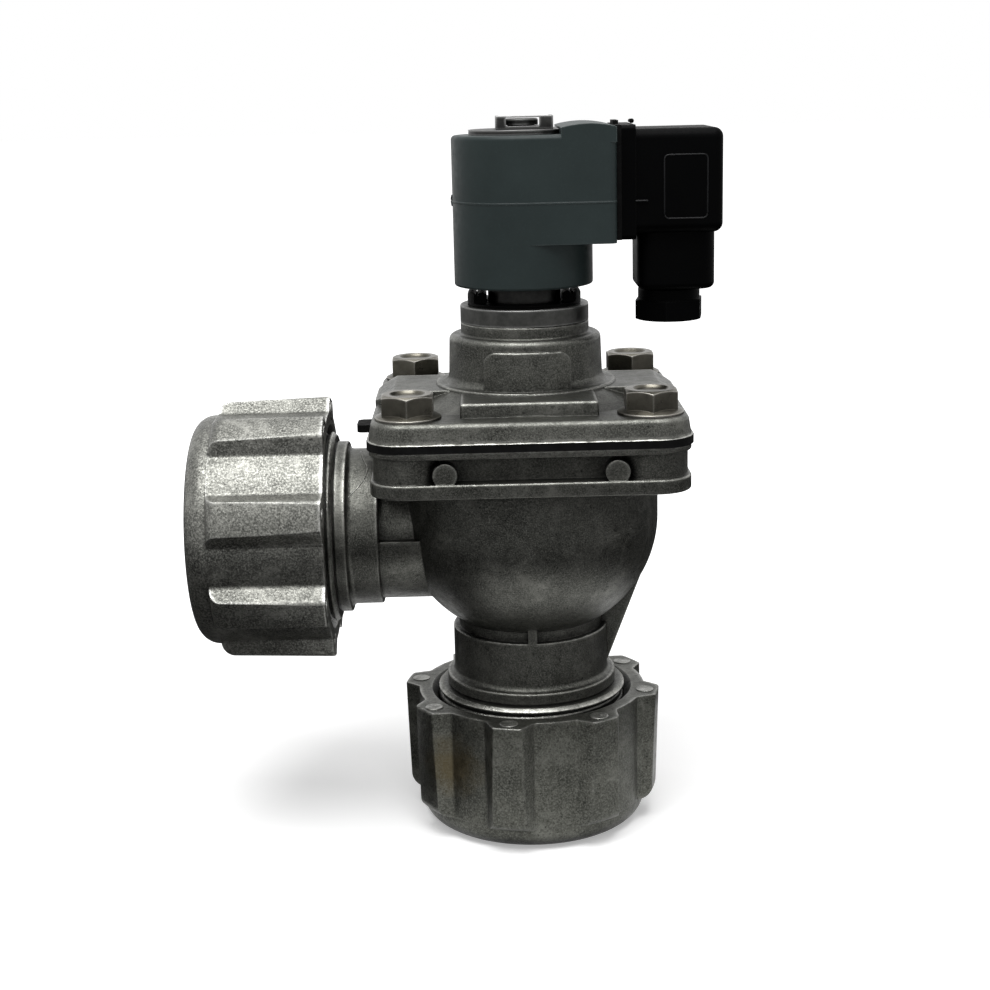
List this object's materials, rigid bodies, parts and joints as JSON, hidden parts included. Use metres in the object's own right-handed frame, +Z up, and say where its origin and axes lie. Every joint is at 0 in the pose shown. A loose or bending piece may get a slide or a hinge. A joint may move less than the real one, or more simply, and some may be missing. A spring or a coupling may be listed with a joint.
{
  "type": "pulse jet diaphragm valve",
  "caption": "Right-angle pulse jet diaphragm valve with ribbed dresser nuts on both pipe ports, a bolted square cover and a solenoid pilot with plug.",
  "frame": {"origin": "on the outlet pipe's axis, at the lower face of the outlet nut, which the valve stands on", "axes": "+Z up along the outlet's axis, -X towards the inlet, +X towards the plug"},
  "size_m": [0.1419, 0.083, 0.1933],
  "materials": {
    "cast": "die-cast, matt",
    "nut_cast": "die-cast, matt, worn ribs",
    "bolt": "nickel plated, satin",
    "steel": "satin",
    "dark_steel": "black oxide",
    "turned": "turned",
    "black_rubber": "matt",
    "coil_plastic": "moulded grey-green",
    "black_plastic": "moulded black",
    "copper": "enamelled copper wire",
    "white_plastic": "moulded, plain"
  },
  "bodies": {
    "valve": {"valve_body": "cast", "cover": "cast", "cover_bolts": "bolt", "diaphragm": "black_rubber", "pilot_base": "turned", "pilot_seal": "black_rubber", "guide_tube": "steel", "tube_seal": "black_rubber", "tube_nut": "dark_steel", "dust_ring": "black_plastic", "fixed_core": "steel", "main_spring": "steel", "plunger_spring": "steel"},
    "diaphragm_middle": {"seat_disc": "black_rubber", "diaphragm_plate": "steel", "seat_washer": "steel", "diaphragm_rivet": "steel"},
    "plunger": {"plunger": "steel", "plunger_seal": "black_rubber"},
    "outlet_rings": {"outlet_washer": "steel", "outlet_seal": "black_rubber"},
    "outlet_nut": {"outlet_nut": "nut_cast"},
    "inlet_rings": {"inlet_washer": "steel", "inlet_seal": "black_rubber"},
    "inlet_nut": {"inlet_nut": "nut_cast"},
    "coil": {"coil_housing": "coil_plastic", "coil_yoke": "steel", "coil_bobbin": "white_plastic", "coil_winding": "copper", "coil_terminals": "steel", "coil_washer": "dark_steel", "coil_clip": "steel", "connector_gasket": "black_rubber", "connector_housing": "black_plastic", "connector_insert": "black_plastic", "connector_screw": "steel", "gland_seal": "black_rubber"},
    "gland_ring": {"gland_washer": "white_plastic"},
    "gland_nut": {"gland_nut": "black_plastic"}
  },
  "joints": [
    {"name": "diaphragm_lift", "type": "slide", "parent": "valve", "child": "diaphragm_middle", "axis": [0, 0, 1], "range_m": [0, 0.007], "stiffness_N_per_m": 800, "springref_m": -0.004, "deforming": ["main_spring"]},
    {"name": "plunger_lift", "type": "slide", "parent": "valve", "child": "plunger", "axis": [0, 0, 1], "range_m": [0, 0.002], "stiffness_N_per_m": 500, "springref_m": -0.004, "deforming": ["plunger_spring"]},
    {"name": "outlet_nut_travel", "type": "slide", "parent": "valve", "child": "outlet_rings", "axis": [0, 0, -1], "range_m": [0, 0.024]},
    {"name": "outlet_nut_turn", "type": "hinge", "parent": "outlet_rings", "child": "outlet_nut", "pos_m": [0, 0, 0], "axis": [0, 0, -1], "range_deg": [0, 4320]},
    {"name": "inlet_nut_travel", "type": "slide", "parent": "valve", "child": "inlet_rings", "axis": [-1, 0, 0], "range_m": [0, 0.024]},
    {"name": "inlet_nut_turn", "type": "hinge", "parent": "inlet_rings", "child": "inlet_nut", "pos_m": [-0.0905, 0, 0.0839], "axis": [-1, 0, 0], "range_deg": [0, 4320]},
    {"name": "coil_turn", "type": "hinge", "parent": "valve", "child": "coil", "pos_m": [0, 0, 0.1495], "axis": [0, 0, 1], "continuous": true},
    {"name": "gland_nut_travel", "type": "slide", "parent": "coil", "child": "gland_ring", "axis": [0, 0, -1], "range_m": [0, 0.005]},
    {"name": "gland_nut_turn", "type": "hinge", "parent": "gland_ring", "child": "gland_nut", "pos_m": [0.0387, 0, 0.1393], "axis": [0, 0, -1], "range_deg": [0, 1260]}
  ],
  "couplings": [
    {"joint": "outlet_nut_travel", "follows": "outlet_nut_turn", "m_per_rad": 0.0003183},
    {"joint": "inlet_nut_travel", "follows": "inlet_nut_turn", "m_per_rad": 0.0003183},
    {"joint": "gland_nut_travel", "follows": "gland_nut_turn", "m_per_rad": 0.0002244}
  ]
}
